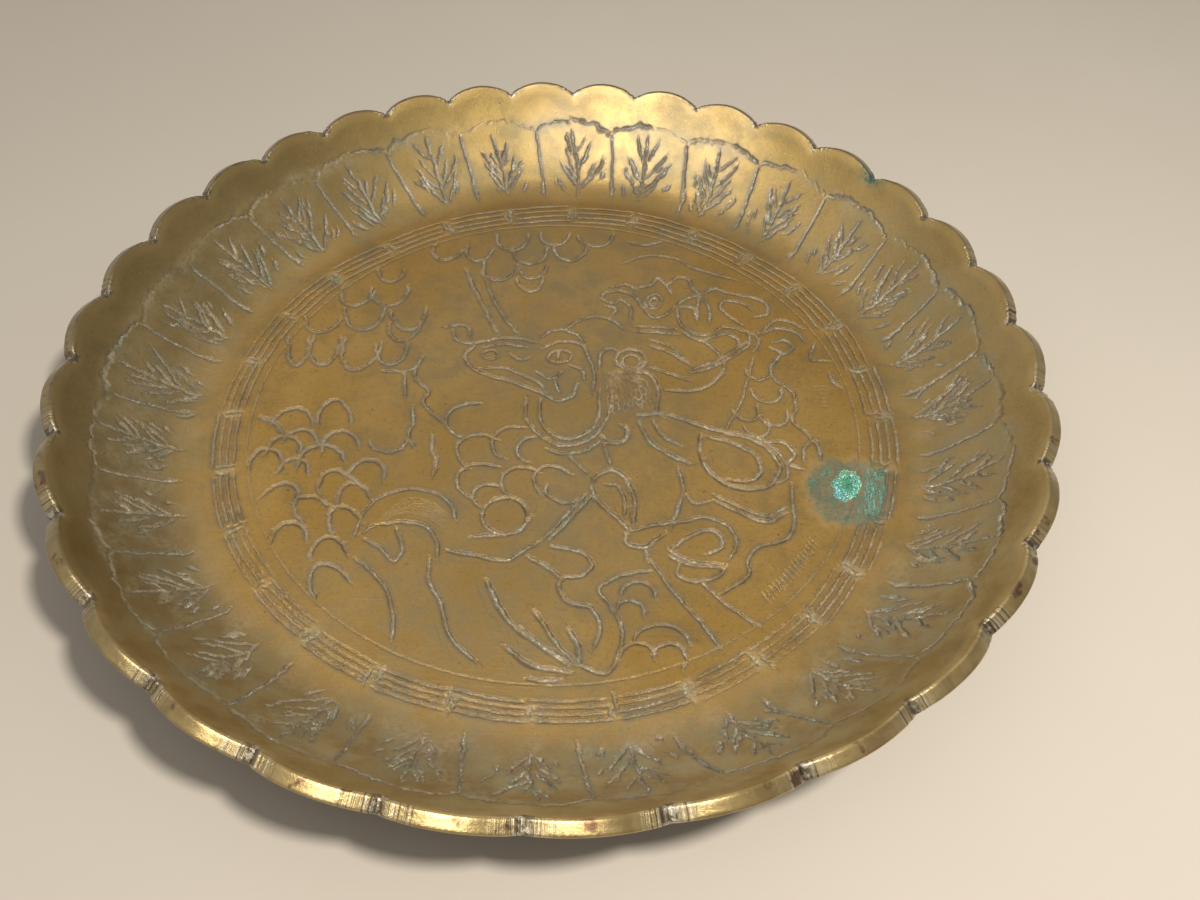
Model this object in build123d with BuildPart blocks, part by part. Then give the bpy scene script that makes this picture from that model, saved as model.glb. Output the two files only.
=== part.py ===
"""Round cast-brass dish with a scalloped, upturned rim and a low soldered foot ring. Millimetres, +Z up.

The origin is the centre of the circle that the foot ring stands on. The dish is a surface of revolution: a
flat floor, a tight cove and a steeper wall. The rim is finished square to the wall and then cut into lobes by
hand, so the lobes are a little wider on the -Y side than on the +Y side.
"""

import os
from math import atan2, cos, pi, radians, sin

from build123d import *

# Driving dimensions
floor_radius = 92.0  # flat floor, upper face
cove_radius = 16.0  # bend from the floor into the wall, upper face
cove_angle = 36.0  # slope at the top of the bend, degrees
wall_radius = 75.0  # large hollow curve of the wall, upper face
rim_angle = 59.0  # slope of the wall at the rim, degrees
floor_thickness = 2.6
rim_thickness = 3.9

foot_radius = 70.0  # centre line of the foot ring
foot_width = 3.2
foot_height = 3.0
foot_edge = 0.5  # rounding of the foot's standing edges
solder_leg = 1.2  # height and width of each solder fillet, which has a flat sloping face

lobe_count = 32
lobe_depth = 3.2  # from the top of a lobe to the bottom of the notch, along the wall
lobe_drift = radians(9.0)  # how far hand spacing has wandered from even spacing
wide_side = radians(-90.0)  # direction of the widest lobes
notch_radius = 0.9  # round file mark at the bottom of each notch

# Worked-out sizes
floor_top = foot_height + floor_thickness
cutter_reach = 8.0  # how far a notch cutter runs each way from the rim, through the thickness
cutter_top = 5.0  # how far a notch cutter stands above the lobes


def upper_point(slope):
    """Point (radius, height) of the upper face where it slopes by this many degrees."""
    bend = min(slope, cove_angle)
    radius = floor_radius + cove_radius * sin(radians(bend))
    height = floor_top + cove_radius * (1 - cos(radians(bend)))
    if slope > cove_angle:
        start, end = radians(cove_angle), radians(slope)
        radius += wall_radius * (sin(end) - sin(start))
        height += wall_radius * (cos(start) - cos(end))
    return radius, height


def lower_point(slope):
    """Point of the lower face opposite that one. The metal thickens steadily with the slope."""
    thickness = floor_thickness + (rim_thickness - floor_thickness) * slope / rim_angle
    radius, height = upper_point(slope)
    angle = radians(slope)
    return radius + thickness * sin(angle), height - thickness * cos(angle)


def notch_angle(index):
    """Direction of a notch, in radians. Adding the sine spaces the notches wider on one side."""
    even = 2 * pi * index / lobe_count
    return even + lobe_drift * sin(even - wide_side)


def rim_plane(angle):
    """Plane square to the thickness at the rim: local X runs round the rim and local Y up the wall."""
    radius, height = upper_point(rim_angle)
    tilt = radians(rim_angle)
    return Plane(
        origin=(radius * cos(angle), radius * sin(angle), height),
        x_dir=(-sin(angle), cos(angle), 0),
        z_dir=(sin(tilt) * cos(angle), sin(tilt) * sin(angle), -cos(tilt)),
    )


def lobe_half_width(index):
    """Half the distance round the rim between this notch and the next one."""
    radius, _ = upper_point(rim_angle)
    return radius * (notch_angle(index + 1) - notch_angle(index)) / 2


def lobe_top(half_width):
    """Height of a lobe's top in the plane of its notch, where the round rim has already curved away."""
    radius, _ = upper_point(rim_angle)
    return -half_width**2 / (2 * radius) * cos(radians(rim_angle))


def lobe_middle(half_width):
    """Point halfway along the round edge from a lobe's top to its notch, as (distance from notch, height)."""
    top = lobe_top(half_width)
    drop = lobe_depth + top
    arc_radius = (half_width**2 + drop**2) / (2 * drop)
    turn = atan2(half_width, arc_radius - drop) / 2
    return half_width - arc_radius * sin(turn), top - arc_radius * (1 - cos(turn))


cove_middle = cove_angle / 2
wall_middle = (cove_angle + rim_angle) / 2

with BuildPart() as dish_body:
    with BuildSketch(Plane.XZ):
        with BuildLine():
            Polyline((0, foot_height), (0, floor_top), upper_point(0))
            ThreePointArc(upper_point(0), upper_point(cove_middle), upper_point(cove_angle))
            ThreePointArc(upper_point(cove_angle), upper_point(wall_middle), upper_point(rim_angle))
            Line(upper_point(rim_angle), lower_point(rim_angle))
            ThreePointArc(lower_point(rim_angle), lower_point(wall_middle), lower_point(cove_angle))
            ThreePointArc(lower_point(cove_angle), lower_point(cove_middle), lower_point(0))
            Line(lower_point(0), (0, foot_height))
        make_face()
    revolve(axis=Axis.Z)

    for index in range(lobe_count):
        left = lobe_half_width(index - 1)
        right = lobe_half_width(index)
        left_x, left_y = lobe_middle(left)
        right_x, right_y = lobe_middle(right)
        with BuildSketch(rim_plane(notch_angle(index))):
            with BuildLine():
                ThreePointArc((-left, lobe_top(left)), (-left_x, left_y), (0, -lobe_depth))
                ThreePointArc((0, -lobe_depth), (right_x, right_y), (right, lobe_top(right)))
                Polyline(
                    (right, lobe_top(right)),
                    (right, cutter_top),
                    (-left, cutter_top),
                    (-left, lobe_top(left)),
                )
            make_face()
            with Locations((0, notch_radius - lobe_depth)):
                Circle(notch_radius)
        extrude(amount=cutter_reach, both=True, mode=Mode.SUBTRACT)

with BuildPart() as foot_ring:
    with BuildSketch(Plane.XZ) as foot_section:
        with Locations((foot_radius, foot_height / 2)):
            Rectangle(foot_width, foot_height)
        standing_corners = foot_section.vertices().group_by(Axis.Y)[0]
        fillet(standing_corners, foot_edge)
    revolve(axis=Axis.Z)

with BuildPart() as foot_solder:
    with BuildSketch(Plane.XZ):
        for side in (-1, 1):
            wall = foot_radius + side * foot_width / 2
            with BuildLine():
                Polyline(
                    (wall, foot_height - solder_leg),
                    (wall, foot_height),
                    (wall + side * solder_leg, foot_height),
                    close=True,
                )
            make_face()
    revolve(axis=Axis.Z)

dish_body.part.label = "dish_body"
foot_ring.part.label = "foot_ring"
foot_solder.part.label = "foot_solder"

os.makedirs("parts", exist_ok=True)
export_step(dish_body.part, "parts/dish_body.step")
export_step(foot_ring.part, "parts/foot_ring.step")
export_step(foot_solder.part, "parts/foot_solder.step")
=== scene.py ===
"""Looks for the round cast-brass dish: chased decoration, worn brass, verdigris, foot ring and studio.

The dish is one closed mesh over the profile of the CAD node dish_body. Its decoration is drawn as strokes on
the upper face laid flat (x to the right, y to the far side, millimetres along the metal) and pressed into a
relief map. The mesh is finer wherever a stroke runs. Lengths are in millimetres until a mesh is written.
"""

import math

import bpy
import numpy as np
from mathutils import Matrix, Vector


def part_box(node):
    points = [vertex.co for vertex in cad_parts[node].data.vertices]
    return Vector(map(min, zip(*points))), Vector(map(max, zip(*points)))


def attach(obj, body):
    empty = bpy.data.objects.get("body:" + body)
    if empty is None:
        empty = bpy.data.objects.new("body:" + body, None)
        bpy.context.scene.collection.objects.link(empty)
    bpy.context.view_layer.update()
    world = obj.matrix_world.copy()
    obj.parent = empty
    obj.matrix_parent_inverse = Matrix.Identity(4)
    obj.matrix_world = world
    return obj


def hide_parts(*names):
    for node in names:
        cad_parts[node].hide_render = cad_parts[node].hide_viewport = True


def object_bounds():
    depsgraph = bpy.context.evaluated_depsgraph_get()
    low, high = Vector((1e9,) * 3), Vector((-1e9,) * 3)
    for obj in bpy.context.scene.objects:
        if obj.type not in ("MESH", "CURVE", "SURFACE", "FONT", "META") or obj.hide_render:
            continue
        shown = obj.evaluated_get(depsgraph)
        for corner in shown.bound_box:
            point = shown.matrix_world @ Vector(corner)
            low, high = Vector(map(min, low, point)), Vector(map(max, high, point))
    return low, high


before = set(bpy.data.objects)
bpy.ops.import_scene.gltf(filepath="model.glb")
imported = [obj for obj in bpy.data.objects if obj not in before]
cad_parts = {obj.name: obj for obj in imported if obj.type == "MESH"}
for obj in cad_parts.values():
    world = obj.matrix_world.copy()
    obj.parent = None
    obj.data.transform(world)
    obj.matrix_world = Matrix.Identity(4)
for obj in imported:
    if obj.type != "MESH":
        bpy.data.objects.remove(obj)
cad_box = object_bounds()

MM = 0.001
TURN = 2 * math.pi

# ---------------------------------------------------------------- sizes, from the frame where it holds them
floor_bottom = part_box("dish_body")[0][2] / MM
foot_outside, _, foot_top = np.array(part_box("foot_ring")[1]) / MM
solder_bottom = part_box("foot_solder")[0][2] / MM

foot_width = 3.2
foot_middle = foot_outside - foot_width / 2
floor_thickness = 2.6
rim_thickness = 3.9
floor_top = floor_bottom + floor_thickness
floor_radius = 92.0
cove_radius = 16.0
cove_angle = math.radians(36)
wall_radius = 75.0
rim_angle = math.radians(59)

lobe_count = 32
lobe_depth = 3.2
lobe_drift = math.radians(9)
wide_side = math.radians(-90)
notch_radius = 0.9

cove_end = floor_radius + cove_radius * cove_angle
rim_length = cove_end + wall_radius * (rim_angle - cove_angle)  # from the centre to a lobe's top
rim_radius = floor_radius + cove_radius * math.sin(cove_angle)
rim_radius += wall_radius * (math.sin(rim_angle) - math.sin(cove_angle))
lobe_zone = rim_length - 8.0  # above this the face is shortened to follow the lobes
underside_start = rim_length + rim_thickness
profile_length = underside_start + rim_length


# ---------------------------------------------------------------- small maths
noise_cells = 97  # the noise repeats after this many features


def noise(x, y, size, seed):
    """Smooth random field from -1 to 1 whose features are about this many millimetres across."""
    table = np.random.default_rng(seed).uniform(-1, 1, (noise_cells, noise_cells))
    u, v = x / size, y / size
    i, j = np.floor(u).astype(int), np.floor(v).astype(int)
    fu, fv = u - i, v - j
    fu, fv = fu * fu * (3 - 2 * fu), fv * fv * (3 - 2 * fv)
    i0, j0, i1, j1 = i % noise_cells, j % noise_cells, (i + 1) % noise_cells, (j + 1) % noise_cells
    low = table[i0, j0] * (1 - fu) + table[i1, j0] * fu
    high = table[i0, j1] * (1 - fu) + table[i1, j1] * fu
    return low * (1 - fv) + high * fv


def smooth_step(value, start, end):
    t = np.clip((value - start) / (end - start), 0, 1)
    return t * t * (3 - 2 * t)


def spline(points, step=0.25):
    """Evenly stepped Catmull-Rom curve through a few points."""
    points = np.asarray(points, float)
    padded = np.vstack([2 * points[0] - points[1], points, 2 * points[-1] - points[-2]])
    pieces = []
    for before, start, end, after in zip(padded, padded[1:], padded[2:], padded[3:]):
        count = max(2, int(np.ceil(np.linalg.norm(end - start) / step)))
        t = np.linspace(0, 1, count, endpoint=False)[:, None]
        bend = 2 * before - 5 * start + 4 * end - after
        swing = 3 * (start - end) + after - before
        pieces.append(0.5 * (2 * start + t * (end - before) + t**2 * bend + t**3 * swing))
    return np.vstack(pieces + [points[-1:]])


# ---------------------------------------------------------------- chased decoration
stroke_step = 0.25
usual_depth = 0.34
worn_width = 0.80  # wear has closed each line to this share of the width first cut
strokes = []
hand = np.random.default_rng(7)


def chase(points, width=1.15, depth=usual_depth, wobble=0.16, flutter=0.18, leaf=0.0):
    """One chased line. The tool is tapped along, so width and depth flutter. leaf makes its middle swell."""
    path = spline(points, stroke_step)
    run = np.arange(len(path)) * stroke_step
    seed = len(strokes) + 11
    across = np.full_like(run, seed * 3.7)
    for size, share in ((2.6, 1.0), (1.1, 0.8)):
        sway = [noise(run, across, size, seed + axis) for axis in (0, 1)]
        path = path + share * wobble * np.stack(sway, 1)
    beat = 1 + flutter * noise(run, across, 1.1, 3) + 0.10 * noise(run, across, 7, 4)
    taper = 0.35 + 0.65 * smooth_step(np.minimum(run, run[::-1]), 0, 1.6)
    swell = 1 - leaf + leaf * np.sin(math.pi * np.clip(run / run[-1], 0.05, 0.95)) ** 0.8
    half_width = worn_width * width / 2 * beat * (0.6 + 0.4 * taper) * swell
    strokes.append((path, half_width, depth * beat * taper * swell))


def turned(shape, degrees):
    """The same points turned anticlockwise about the origin."""
    c, s = math.cos(math.radians(degrees)), math.sin(math.radians(degrees))
    return shape @ np.array([[c, s], [-s, c]])


def cup(x, y, across, deep, turn=0.0, **tool):
    """Half an ellipse, open towards +y before it is turned by this many degrees about its middle."""
    angle = np.linspace(math.pi, TURN, 7)
    shape = np.stack([across / 2 * np.cos(angle), deep / 2 + deep * np.sin(angle)], 1)
    chase(turned(shape, turn) + (x, y), **tool)


def cups(rows, **tool):
    """One cup for each row of x, y, width across, depth and turn."""
    for x, y, across, deep, turn in rows:
        cup(x, y, across, deep, turn, **tool)


def oval(x, y, across, deep, turn=0.0, **tool):
    angle = np.linspace(0, TURN, 13)
    shape = np.stack([across / 2 * np.cos(angle), deep / 2 * np.sin(angle)], 1)
    chase(turned(shape, turn) + (x, y), **tool)


def arc(radius, start, end, drift=0.0, **tool):
    """Arc about the dish's centre between two angles in radians. Its radius drifts this much on the way."""
    count = max(3, int(abs(end - start) * radius / 6))
    angle = np.linspace(start, end, count)
    reach = radius + drift * np.linspace(-0.5, 0.5, count)
    chase(np.stack([reach * np.cos(angle), reach * np.sin(angle)], 1), **tool)


def at(angle, along):
    """Point at this angle in radians and this distance from the centre along the face."""
    return along * math.cos(angle), along * math.sin(angle)


panel_count = 28
panel_base, panel_shoulder, panel_top = 96.0, 117.6, 120.8
panel_edges = math.radians(134.8) - TURN * np.arange(panel_count + 1) / panel_count
panel_edges = panel_edges + math.radians(1.9) * np.cos(panel_edges + math.radians(4))  # a little uneven


def leaf_panels():
    """Border of panels on the wall, each with a worn scalloped edge, a leaning divider and one sprig."""
    for left, right in zip(panel_edges, panel_edges[1:]):
        middle, half = (left + right) / 2, (right - left) / 2
        peak, lift = hand.uniform(-0.35, 0.35), 0.6 * hand.normal()
        low, high = panel_shoulder + lift, panel_top + 0.5 * lift
        rise = [(-1.0, low), (-0.82, low + 1.3), ((peak - 1) / 2, high - 0.9), (peak, high)]
        fall = [(peak, high), ((peak + 1) / 2, high - 1.1), (0.84, low + 1.0), (1.0, low)]
        for part in (rise, fall):
            chase([at(middle + side * half, along) for side, along in part],
                  hand.uniform(0.7, 1.8), hand.uniform(0.04, 0.24), 0.60, 0.50)
        foot = panel_base + hand.uniform(-1.0, 1.5)
        lean = right - hand.uniform(0.014, 0.044)
        chase([at(right, low), at((right + lean) / 2, (low + foot) / 2), at(lean, foot)],
              hand.uniform(0.7, 1.1), hand.uniform(0.20, 0.36), 0.2)
        above = foot + hand.uniform(2.5, 8.0)
        chase([at(lean + 0.0012 * (above - foot), above), at(lean, foot - 0.5)], 1.6, 0.40, 0.3, 0.4, 0.5)
        stem = middle - 0.012 + hand.normal() * 0.008
        sprig(stem, panel_base + hand.uniform(0, 1.5), low + hand.uniform(-1.5, 1.0))


def sprig(middle, base, tip):
    """Sprig like a young fir: a leaning stem, long branches that bend upwards, and short cuts between."""
    height = tip - base
    lean = 0.016 + hand.normal() * 0.012

    def cut(start, low, reach, slope, width, depth):
        out = reach * math.sin(slope) / (low + reach)
        high = low + reach * math.cos(slope)
        chase([at(start, low), at(start + 0.66 * out, low + 0.48 * reach), at(start + out, high)],
              width, depth, 0.35, 0.45, 0.45)

    halfway_up, top = base + 0.45 * height, base + 1.02 * height
    chase([at(middle, base), at(middle + 0.2 * lean, halfway_up), at(middle + lean, top)],
          1.15, 0.40, 0.35, 0.40, 0.25)
    for side in (-1, 1):
        for root, share in ((0.02, 0.56), (0.18, 0.60), (0.38, 0.52), (0.58, 0.36)):
            low = base + height * max(root + 0.06 * hand.normal(), 0.0)
            reach = height * share * hand.uniform(0.65, 1.15)
            cut(middle + lean * root + side * 0.004, low, reach, side * math.radians(hand.uniform(20, 40)),
                hand.uniform(0.8, 1.35), hand.uniform(0.18, 0.46))
        for _ in range(3):
            away, low = side * hand.uniform(0.016, 0.070), base + height * hand.uniform(-0.05, 0.50)
            cut(middle + away, low, hand.uniform(2.5, 6.0), side * math.radians(hand.uniform(12, 34)),
                hand.uniform(0.8, 1.4), hand.uniform(0.16, 0.40))


cane_count = 29
cane_joints = math.radians(129.5) - TURN * np.arange(cane_count + 1) / cane_count
cane_joints = (cane_joints - math.radians(4) * np.cos(cane_joints - math.radians(48)))[::-1]


def cane_edges(angle):
    """Distances from the centre of the ring's inner and outer line. It is narrower at the near side."""
    return 83.8 - 1.0 * np.sin(angle), 89.8 + 0.6 * np.cos(angle)


def bamboo_ring():
    """Four lines round the floor, broken into canes by rough cross strokes, each cane a little askew."""
    for start, end in zip(cane_joints, cane_joints[1:]):
        inner, outer = cane_edges(start)
        shift, drift = 0.20 * hand.normal(), 0.6 * hand.normal()
        for line in range(4):
            radius = inner + shift + line * (outer - inner) / 3
            early, late = hand.uniform(-0.002, 0.016, 2)
            if line < 2:
                early, late = early + hand.uniform(-0.03, 0.012), late + hand.uniform(-0.01, 0.012)
            arc(radius, start + early, end - late, drift, width=0.85, depth=hand.uniform(0.12, 0.22),
                wobble=0.10, flutter=0.15)
        for side in (-1, 1):
            joint = start + side * hand.uniform(0.004, 0.014)
            low, high = inner + hand.uniform(-0.6, 2.2), outer + hand.uniform(-2.2, 0.6)
            bend = at(joint + side * 0.003, (low + high) / 2)
            last = at(joint + 0.005 * hand.normal(), high)
            chase([at(joint, low), bend, last], hand.uniform(0.9, 1.6), hand.uniform(0.20, 0.34), 0.45, 0.5)
    arc(80.6, 0.2, 0.2 + TURN, width=0.55, depth=0.12, wobble=0.05, flutter=0.1)


def foliage():
    """Clusters of scales: cups for the tree and clouds at the far side, buds at the left."""
    soft = {"width": 1.35, "depth": 0.24, "wobble": 0.26}
    cups((
        (-51, 46, 11, 9, 6), (-61, 45, 10, 8, -12), (-57, 36, 12, 10, 4), (-44, 36, 10, 9, 10),
        (-45, 31, 9, 8, 0), (-69, 33, 10, 7, -6), (-66, 22, 9, 11, 6), (-73, 22, 7, 12, 4),
        (-56, 21, 11, 12, -4), (-47, 22, 9, 9, 8), (-52, 55, 8, 6, 0), (-17, 72, 10, 8, 0),
        (-4, 74, 9, 6, 0), (9, 74, 11, 6, 8), (-11, 66, 11, 8, 4), (1, 68, 10, 8, 0),
        (-20, 58, 11, 8, -14), (-10, 59, 9, 7, 0), (-10, 53, 8, 7, 10), (-27, 66, 8, 7, -10),
        (-37, 66, 9, 7, -20),
    ), **soft)
    cups((
        (-69, -3, 11, 6, 172), (-59, -1, 9, 9, 190), (-66, -10, 9, 5, 176), (-56, -11, 10, 7, 196),
        (-70, -13, 9, 6, 184), (-60, -16, 12, 7, 190), (-74, -18, 9, 7, 200), (-66, -20, 8, 5, 180),
        (-47, -20, 9, 6, 176), (-55, -25, 10, 8, 214), (-50, -28, 8, 7, 200), (-67, -29, 9, 7, 160),
        (-60, -33, 8, 8, 230), (-51, -36, 8, 8, 214), (-63, -41, 9, 6, 186), (-53, -45, 9, 6, 196),
        (-52, -54, 9, 9, 214), (-43, -12, 10, 4, 10),
    ), **soft)
    chase([(-78, -3.5), (-74, -5.5), (-70.5, -10)], 2.0, 0.34)
    chase([(-49, 15), (-43, 14.5), (-41.5, 9), (-41, 5)], 1.1, 0.3)
    chase([(-43, 14.5), (-39.5, 17), (-38, 22)], 1.1, 0.3)
    chase([(-39.5, 17), (-39, 12.5), (-35, 8), (-36, 4), (-33.5, 0.5), (-29, -4)], 1.2, 0.34)
    chase([(-38.5, 2), (-37.5, -4), (-38.5, -8), (-36, -13)], 1.1, 0.3)


def tree_trunk():
    """Two long faint lines down from the far clusters."""
    chase([(-30, 59), (-26, 49), (-22, 40), (-18, 31)], 1.6, 0.20)
    chase([(-25, 58), (-20, 45), (-16, 37), (-12, 31)], 1.2, 0.20)


def beast_head():
    """Mythical beast facing left: whisker curl, open jaw, eye under a heavy brow, ear and collar."""
    chase([(-33, 33), (-29.5, 34.5), (-26.5, 33), (-25.5, 29)], 1.1)
    chase([(-31, 32), (-29.5, 28.5), (-26, 27), (-22, 28)], 1.1)
    chase([(-25, 26.5), (-19, 29), (-12, 29.5), (-7, 28)], 1.2)
    chase([(-22, 25.5), (-16, 26.8), (-9, 26)], 1.0, 0.24)
    chase([(-24, 26), (-26.5, 22), (-24, 17.5), (-19, 14.5), (-12, 12), (-5, 9), (0, 6), (4, 8), (5, 12)],
          1.3, 0.4)
    chase([(-22, 17), (-15, 17.5), (-9, 14.5), (-5, 12), (-3, 9)], 1.1, 0.3)
    oval(-19.5, 22.5, 4.2, 3.6, width=1.0)
    chase([(-14, 23), (-11, 21), (-8, 22)], 1.0, 0.24)
    chase([(-6, 16.5), (-2, 14), (1, 17)], 1.3, 0.44)
    chase([(-1, 14), (0.5, 9.5)], 1.3, 0.44)
    oval(0, 22.6, 6.4, 5.0, 10, width=1.0)
    chase([(-0.3, 24.4), (-0.3, 20.8)], 1.1, 0.36)
    chase([(-5, 26), (0, 28.8), (6, 27.5), (8.5, 22), (10, 15), (9.5, 9)], 1.2)
    chase([(3, 19.5), (6.5, 17.5), (7.5, 13)], 1.0, 0.26)
    chase([(-6, 30), (-3, 33), (1, 33.5), (5, 31.5), (7, 28)], 1.2)
    chase([(1.5, 34.5), (5, 38), (10, 39.5), (15, 38), (19, 34)], 1.1)
    oval(20, 22.3, 8.2, 8.2, width=1.3)
    oval(20, 21.6, 5.0, 5.2, width=1.0, depth=0.26)
    chase([(11, 19), (11.5, 24), (14, 26.5), (16.5, 25), (15.5, 22)], 1.2)
    for widen in (0.0, 3.6):
        chase([(-4.5 - widen, 6), (-4.2 - widen, -1), (-1 - widen / 2, -6 - widen / 2),
               (3.5, -7.8 - widen / 1.5), (9 + widen / 3, -5 - widen / 2), (11.5 + widen / 1.5, 1),
               (11.5 + widen, 10)], 1.3, 0.36)
    chase([(-2, -11.5), (2.5, -13), (8, -11.8), (12, -8)], 1.1, 0.28)


def mane():
    """Hair combed back from the cheek and down to the shoulder."""
    for strand in range(10):
        lean = strand / 9
        chase([(12.5 + 5.5 * lean, 17.6 + lean), (13.6 + 11 * lean, 10 + 3 * lean),
               (14.4 + 11.5 * lean, 1 + 3.5 * lean)], 0.60, 0.16, 0.35)
    chase([(20, 17.5), (25, 17), (27.5, 11), (27, 4), (29, 1)], 1.4, 0.42)
    chase([(17, -2.5), (19.5, -4), (18, -8), (13, -9)], 1.1, 0.26)


def bird_head():
    """Crested bird above the beast, looking left, with a plume that ends in ribbon curls."""
    chase([(10.8, 47.5), (12.5, 50.2), (17, 51), (21, 49), (23.5, 44), (26.5, 40.2), (30, 41.5), (33, 45)],
          1.3, 0.38)
    chase([(10.8, 47.5), (14, 45.8), (16.5, 47)], 1.1)
    chase([(12.5, 44.5), (15.5, 43.5), (14.3, 40.3)], 1.0)
    chase([(14.5, 52.5), (18, 53.8), (21.5, 52)], 1.2)
    chase([(16.5, 48), (19.8, 44), (19.6, 38)], 1.2)
    oval(26.4, 46.7, 4.6, 6.2, -14, width=1.0)
    oval(26.4, 46.7, 1.8, 3.0, -14, width=0.9, depth=0.26)
    chase([(21, 52.5), (25.5, 54), (28, 57.2), (30.2, 54.2), (32, 50.5)], 1.3)
    chase([(30.2, 54.2), (33.5, 57.5), (37, 57.2), (37.8, 53.5), (40.2, 50.5)], 1.2)
    for side in (39, 42.5):
        chase([(40.2, 50.5), (side + 0.4, 44), (side, 38.5)], 1.1, 0.3)
    chase([(33, 45), (36, 48.5), (40, 50)], 1.1)
    chase([(33, 45.2), (38, 44.6), (38.6, 40.5)], 1.2)
    chase([(41.5, 51), (44.5, 53.2), (49, 51.3), (55, 50), (59.5, 47.3), (59.5, 42.8), (56, 41.5)], 1.2)
    chase([(52, 38), (48.5, 41.5), (46, 45.2), (47.5, 48), (53, 47), (55.5, 44.2)], 1.1)
    for drop in (0, 2.2):
        chase([(21, 36 - drop), (27, 36 - drop), (33, 35.2 - drop)], 1.1, 0.28)


def ribbons():
    """Scarves that flutter from the bird and cross over the wing."""
    chase([(33.5, 44), (34, 38), (38.5, 33.5), (43, 34), (47.5, 37), (52.5, 35.2), (57, 35), (61, 39.5),
           (65, 40), (69.5, 37)], 1.3)
    chase([(35, 34), (39.5, 30.8), (43.5, 32.8), (47, 34.2), (50.2, 32.2), (51.5, 29)], 1.2)
    chase([(57, 34), (61.5, 36.8), (67, 35.6), (69.6, 31.5)], 1.1)
    chase([(60.5, 31), (64, 31.8), (65.8, 29), (63, 26.6), (59.5, 29)], 1.2)
    chase([(50.5, 27), (53.5, 29.8), (54, 34.5), (56.5, 32), (55, 27.5)], 1.1)
    for offset in (0, 1.8):
        chase([(36 - offset / 3, 19 - offset), (44, 23 - offset), (53, 31 - offset)], 1.0, 0.3)
    chase([(40, 31), (44, 27), (46, 21), (43, 14.5), (37.5, 11.2), (30, 11)], 1.4, 0.36)
    for drop, reach in ((0, 0), (2.6, 1.5), (11, 1)):
        chase([(25.5, 30.5 - drop), (31, 28.2 - drop), (35.5 + reach, 22.5 - 0.7 * drop)], 1.1, 0.3)
    chase([(17, 63), (22, 66.4), (28, 67.6), (34, 66), (39, 62.2), (52, 57)], 0.9, 0.2)
    chase([(19, 73.5), (24, 72.2), (29.5, 74.5)], 1.2, 0.22)


def scaled_wing():
    """Narrow panel at the right, filled with scales."""
    chase([(54.5, 25), (52.3, 15.5), (49, 5), (45, -3.5)], 0.8, 0.2)
    chase([(62, 26), (59, 20.5), (60.3, 16), (64.2, 11.8), (64.8, 6), (63.4, 1.2), (66.5, -3), (69.5, -8)],
          1.2, 0.32)
    cups((
        (55.5, 18, 7, 4, 4), (57.4, 10, 8.5, 5, 4), (51.7, 3, 7, 5, 20), (58.8, 1.5, 8, 5, 10),
        (54, -2.5, 7, 5, 14),
    ), width=1.1, depth=0.3)
    chase([(72.4, 31), (70.6, 25), (76, 24)], 1.0, 0.26)
    chase([(75.2, 19.5), (76, 15.8), (78, 14)], 1.0, 0.26)
    for tick in range(6):
        chase([(70.5, 14 - 1.5 * tick), (74, 14.3 - 1.5 * tick)], 0.5, 0.08, 0.05)


def body_scales():
    """Large overlapping scales on the beast's body."""
    cups((
        (-25, -2, 13, 8, 262), (-21, -12, 12, 8, 236), (-13, -9, 12, 6, 250), (-20, -22, 12, 8, 244),
        (-9, -22, 11, 7, 232), (-1, -21, 10, 7, 226), (16.5, -6, 7, 4, 30), (-7.5, -12, 9, 4, 268),
        (2, -27, 9, 3, 330), (-17, -27, 8, 5, 240),
    ), width=1.1, depth=0.26)
    chase([(-32, -8), (-31.5, -13), (-30, -17), (-30.5, -22)], 1.5, 0.36)


def crescent():
    """Curled tail like a crescent, with a ring and a tuft that hangs from it."""
    chase([(-47.5, -42), (-46, -34), (-42, -28.5), (-35, -26.2), (-28.5, -27.5), (-24.5, -31),
           (-23, -35.5)], 1.0, 0.3)
    chase([(-46, -41), (-42.5, -38), (-36.5, -36.8), (-30.5, -37.6), (-27, -42), (-26.3, -47)], 1.2, 0.28)
    oval(-11, -33.8, 11.4, 11.4, width=1.4, depth=0.38)
    chase([(-24, -45), (-17, -46), (-10, -47.2), (-5.5, -44), (-2, -41)], 1.2, 0.3)
    chase([(-19, -40.5), (-13, -39.8), (-7.5, -38.5), (-4.5, -33.5)], 1.2, 0.26)
    chase([(-45, -42), (-40.5, -44.5), (-36.5, -48.3), (-35, -44.5), (-37.5, -38.5)], 1.1, 0.24)
    for hatch in range(7):
        share = hatch / 6
        chase([(-43.5 + 2 * share, -39.5 + 4 * share), (-38 + 2 * share, -34.5 + 5 * share),
               (-31 + share, -34.5 + 4.5 * share), (-26.5 + share, -38 + 4 * share)], 0.45, 0.06, 0.2)


def claw_and_staff():
    """Claw below the beast's breast, the staff it holds, and two short faint lines above it."""
    chase([(10, -23), (12, -19.6), (15.8, -18), (18.8, -20.5), (21, -27), (21, -35)], 1.6, 0.44)
    chase([(10, -23), (11.5, -27.5), (15.5, -32), (20, -37)], 1.5, 0.40)
    chase([(13.5, -22.5), (17, -23.3), (18.6, -28), (18.6, -33)], 1.0, 0.26)
    for offset in (0, 1.6):
        chase([(9 + offset, -26.2), (4.4 + offset, -32.8), (-1 + offset, -40.4)], 1.1, 0.32)
    chase([(12, -6), (15.2, -17)], 0.7, 0.2, 0.05)
    chase([(4, -13.5), (9.6, -20)], 0.7, 0.2, 0.05)


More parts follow.
